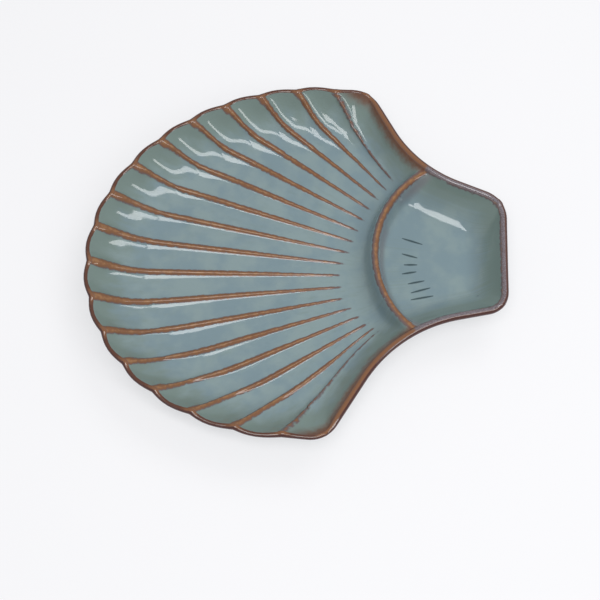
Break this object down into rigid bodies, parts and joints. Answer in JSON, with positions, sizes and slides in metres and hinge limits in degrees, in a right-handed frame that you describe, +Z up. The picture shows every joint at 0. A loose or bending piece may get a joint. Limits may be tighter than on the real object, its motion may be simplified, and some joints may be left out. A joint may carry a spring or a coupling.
{
  "type": "serving platter",
  "caption": "Glazed stoneware serving platter shaped as a ribbed scallop shell, with a divided dip well at its hinge end and a foot ring underneath.",
  "frame": {"origin": "middle of the outline's box, on the surface that the foot stands on", "axes": "+X points along the platter to the grip end, +Y across it to the taller wing, +Z up out of the wells"},
  "size_m": [0.2935, 0.2617, 0.0316],
  "materials": {
    "glaze": "glossy blue-grey reactive glaze that breaks rust-brown on the ribs and along the lip"
  },
  "bodies": {
    "root": {"platter": "glaze"}
  },
  "joints": []
}
